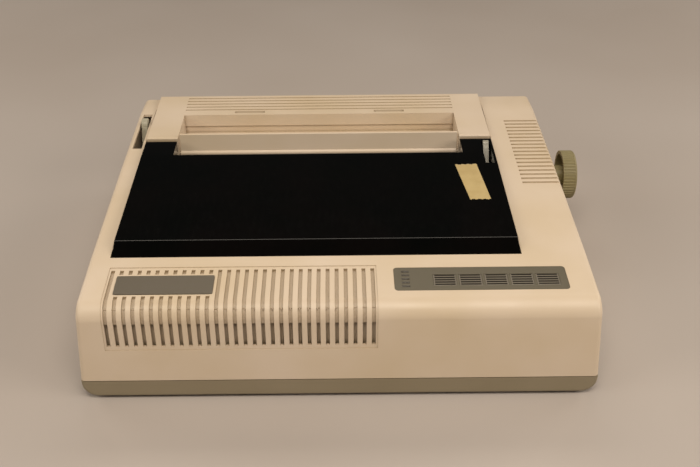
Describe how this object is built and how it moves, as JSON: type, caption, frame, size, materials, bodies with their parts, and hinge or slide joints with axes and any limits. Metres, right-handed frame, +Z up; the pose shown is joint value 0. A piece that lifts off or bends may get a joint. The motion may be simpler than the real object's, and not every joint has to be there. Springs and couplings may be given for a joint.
{
  "type": "dot matrix printer",
  "caption": "Desk-top dot matrix printer: moulded case with vent grille, smoked hinged front cover, hinged rear cover with paper guide, side knob, keys and working print mechanism.",
  "frame": {"origin": "middle of the object's bounding box, on the surface that it stands on", "axes": "+X to the operator's right, +Y from the front to the rear wall, +Z up"},
  "size_m": [0.4306, 0.364, 0.1085],
  "materials": {
    "case": "moulded cream plastic, fine texture",
    "tray": "moulded grey-brown plastic",
    "cover_smoked": "dark smoked acrylic, glossy",
    "plate_grey": "satin grey, bare",
    "key_grey": "moulded grey keys",
    "lamp": "dim lamp bars",
    "knob": "moulded olive beige",
    "lever": "moulded grey levers",
    "rubber": "matt black rubber",
    "frame_steel": "zinc plated sheet",
    "rod_steel": "ground steel",
    "gear": "natural acetal",
    "carriage": "glass filled black plastic",
    "head": "black finned casting",
    "motor": "black painted can",
    "belt": "toothed rubber belt",
    "spool": "black plastic spools",
    "ribbon": "inked nylon band",
    "board": "green circuit board",
    "heat_sink": "extruded aluminium",
    "transformer": "laminated core",
    "socket": "black moulding",
    "port": "plated shell",
    "screw": "zinc plated"
  },
  "bodies": {
    "root": {"base_tray": "tray", "carriage_motor": "motor", "case_screws": "screw", "control_plate": "plate_grey", "drive_belt": "belt", "feed_motor": "motor", "floor_plate": "frame_steel", "frame_studs": "rod_steel", "guide_rods": "rod_steel", "heat_sink": "heat_sink", "key_board": "board", "lamp_bars": "lamp", "left_frame": "frame_steel", "main_board": "board", "name_plate": "plate_grey", "paper_pan": "frame_steel", "platen_bushes": "gear", "power_inlet": "socket", "printer_port": "port", "ribbon": "ribbon", "ribbon_supports": "frame_steel", "right_frame": "frame_steel", "rubber_feet": "rubber", "switch_bezel": "socket", "top_case": "case", "transformer": "transformer"},
    "front_cover": {"front_cover": "cover_smoked"},
    "rear_cover": {"rear_cover": "case"},
    "paper_guide": {"paper_guide": "case"},
    "platen": {"platen_shaft": "rod_steel", "platen_rubber": "rubber", "platen_knob": "knob", "platen_gear": "gear"},
    "idler_gear": {"idler_gear": "gear"},
    "motor_pinion": {"motor_pinion": "gear"},
    "tractor_shaft": {"tractor_shaft": "rod_steel"},
    "left_tractor": {"left_tractor": "carriage"},
    "right_tractor": {"right_tractor": "carriage"},
    "left_pin_wheel": {"left_pin_wheel": "gear"},
    "right_pin_wheel": {"right_pin_wheel": "gear"},
    "release": {"release_shaft": "rod_steel", "release_lever": "lever"},
    "pressure_rollers": {"pressure_rollers": "rubber"},
    "bail": {"bail": "rod_steel"},
    "bail_rollers": {"bail_rollers": "rubber"},
    "carriage": {"carriage": "carriage", "print_head": "head", "ribbon_guide": "frame_steel"},
    "drive_pulley": {"drive_pulley": "gear"},
    "idler_pulley": {"idler_pulley": "gear"},
    "left_spool": {"left_spool": "spool"},
    "right_spool": {"right_spool": "spool"},
    "power_rocker": {"power_rocker": "socket"},
    "left_clip": {"left_clip": "rod_steel"},
    "right_clip": {"right_clip": "rod_steel"},
    "key_1": {"key_1": "key_grey"},
    "key_2": {"key_2": "key_grey"},
    "key_3": {"key_3": "key_grey"},
    "key_4": {"key_4": "key_grey"},
    "key_5": {"key_5": "key_grey"}
  },
  "joints": [
    {"name": "front_cover_hinge", "type": "hinge", "parent": "root", "child": "front_cover", "pos_m": [-0.01125, 0.0672, 0.0991], "axis": [-1, 0, 0], "range_deg": [0, 80]},
    {"name": "rear_cover_hinge", "type": "hinge", "parent": "root", "child": "rear_cover", "pos_m": [-0.01125, 0.17, 0.099], "axis": [-1, 0, 0], "range_deg": [0, 70]},
    {"name": "paper_guide_tilt", "type": "hinge", "parent": "rear_cover", "child": "paper_guide", "pos_m": [-0.01125, 0.0752, 0.0885], "axis": [-1, 0, 0], "range_deg": [0, 50]},
    {"name": "platen_turn", "type": "hinge", "parent": "root", "child": "platen", "pos_m": [-0.01125, 0.0618, 0.068], "axis": [1, 0, 0], "continuous": true},
    {"name": "idler_gear_spin", "type": "hinge", "parent": "root", "child": "idler_gear", "pos_m": [-0.01125, 0.09187, 0.06654], "axis": [1, 0, 0], "continuous": true},
    {"name": "motor_pinion_spin", "type": "hinge", "parent": "root", "child": "motor_pinion", "pos_m": [-0.01125, 0.04975, 0.04713], "axis": [1, 0, 0], "continuous": true},
    {"name": "tractor_shaft_turn", "type": "hinge", "parent": "root", "child": "tractor_shaft", "pos_m": [-0.01125, 0.1144, 0.058], "axis": [1, 0, 0], "continuous": true},
    {"name": "left_tractor_slide", "type": "slide", "parent": "root", "child": "left_tractor", "axis": [1, 0, 0], "range_m": [-0.004, 0.04]},
    {"name": "right_tractor_slide", "type": "slide", "parent": "root", "child": "right_tractor", "axis": [-1, 0, 0], "range_m": [-0.004, 0.04]},
    {"name": "left_pin_wheel_turn", "type": "hinge", "parent": "left_tractor", "child": "left_pin_wheel", "pos_m": [-0.01125, 0.1144, 0.058], "axis": [1, 0, 0], "continuous": true},
    {"name": "right_pin_wheel_turn", "type": "hinge", "parent": "right_tractor", "child": "right_pin_wheel", "pos_m": [-0.01125, 0.1144, 0.058], "axis": [1, 0, 0], "continuous": true},
    {"name": "paper_release", "type": "hinge", "parent": "root", "child": "release", "pos_m": [-0.01125, 0.0915, 0.046], "axis": [1, 0, 0], "range_deg": [0, 20]},
    {"name": "pressure_rollers_spin", "type": "hinge", "parent": "release", "child": "pressure_rollers", "pos_m": [-0.01125, 0.069, 0.04821], "axis": [1, 0, 0], "continuous": true},
    {"name": "bail_swing", "type": "hinge", "parent": "root", "child": "bail", "pos_m": [-0.01125, 0.033, 0.058], "axis": [1, 0, 0], "range_deg": [0, 28]},
    {"name": "bail_rollers_spin", "type": "hinge", "parent": "bail", "child": "bail_rollers", "pos_m": [-0.01125, 0.0453, 0.0845], "axis": [1, 0, 0], "continuous": true},
    {"name": "carriage_slide", "type": "slide", "parent": "root", "child": "carriage", "axis": [1, 0, 0], "range_m": [-0.0566, 0.1466]},
    {"name": "drive_pulley_spin", "type": "hinge", "parent": "root", "child": "drive_pulley", "pos_m": [-0.15225, 0.011, 0.0375], "axis": [0, 0, 1], "continuous": true},
    {"name": "idler_pulley_spin", "type": "hinge", "parent": "root", "child": "idler_pulley", "pos_m": [0.09275, 0.011, 0.0375], "axis": [0, 0, 1], "continuous": true},
    {"name": "left_spool_turn", "type": "hinge", "parent": "root", "child": "left_spool", "pos_m": [-0.16125, -0.045, 0.0605], "axis": [0, 0, 1], "continuous": true},
    {"name": "right_spool_turn", "type": "hinge", "parent": "root", "child": "right_spool", "pos_m": [0.10175, -0.045, 0.0605], "axis": [0, 0, 1], "continuous": true},
    {"name": "power_rocker_tip", "type": "hinge", "parent": "root", "child": "power_rocker", "pos_m": [0.10075, 0.174, 0.04], "axis": [0, 0, -1], "range_deg": [0, 14]},
    {"name": "left_clip_swing", "type": "hinge", "parent": "root", "child": "left_clip", "pos_m": [-0.16925, 0.1791, 0.042], "axis": [0, 0, -1], "range_deg": [0, 75]},
    {"name": "right_clip_swing", "type": "hinge", "parent": "root", "child": "right_clip", "pos_m": [-0.09325, 0.1791, 0.042], "axis": [0, 0, 1], "range_deg": [0, 75]},
    {"name": "key_1_press", "type": "slide", "parent": "root", "child": "key_1", "axis": [0, 0.0802, -0.9968], "range_m": [0, 0.0014], "stiffness_N_per_m": 600, "springref_m": -0.0005},
    {"name": "key_2_press", "type": "slide", "parent": "root", "child": "key_2", "axis": [0, 0.0802, -0.9968], "range_m": [0, 0.0014], "stiffness_N_per_m": 600, "springref_m": -0.0005},
    {"name": "key_3_press", "type": "slide", "parent": "root", "child": "key_3", "axis": [0, 0.0802, -0.9968], "range_m": [0, 0.0014], "stiffness_N_per_m": 600, "springref_m": -0.0005},
    {"name": "key_4_press", "type": "slide", "parent": "root", "child": "key_4", "axis": [0, 0.0802, -0.9968], "range_m": [0, 0.0014], "stiffness_N_per_m": 600, "springref_m": -0.0005},
    {"name": "key_5_press", "type": "slide", "parent": "root", "child": "key_5", "axis": [0, 0.0802, -0.9968], "range_m": [0, 0.0014], "stiffness_N_per_m": 600, "springref_m": -0.0005}
  ],
  "couplings": [
    {"joint": "idler_gear_spin", "follows": "platen_turn", "ratio": -1.5},
    {"joint": "motor_pinion_spin", "follows": "platen_turn", "ratio": -3},
    {"joint": "tractor_shaft_turn", "follows": "platen_turn", "ratio": 1.5},
    {"joint": "left_pin_wheel_turn", "follows": "platen_turn", "ratio": 1.5},
    {"joint": "right_pin_wheel_turn", "follows": "platen_turn", "ratio": 1.5},
    {"joint": "pressure_rollers_spin", "follows": "platen_turn", "ratio": -3.2},
    {"joint": "bail_rollers_spin", "follows": "platen_turn", "ratio": -2.2857},
    {"joint": "drive_pulley_spin", "follows": "carriage_slide", "rad_per_m": 129.87},
    {"joint": "idler_pulley_spin", "follows": "carriage_slide", "rad_per_m": 129.87},
    {"joint": "right_spool_turn", "follows": "left_spool_turn", "ratio": 1.2667}
  ]
}
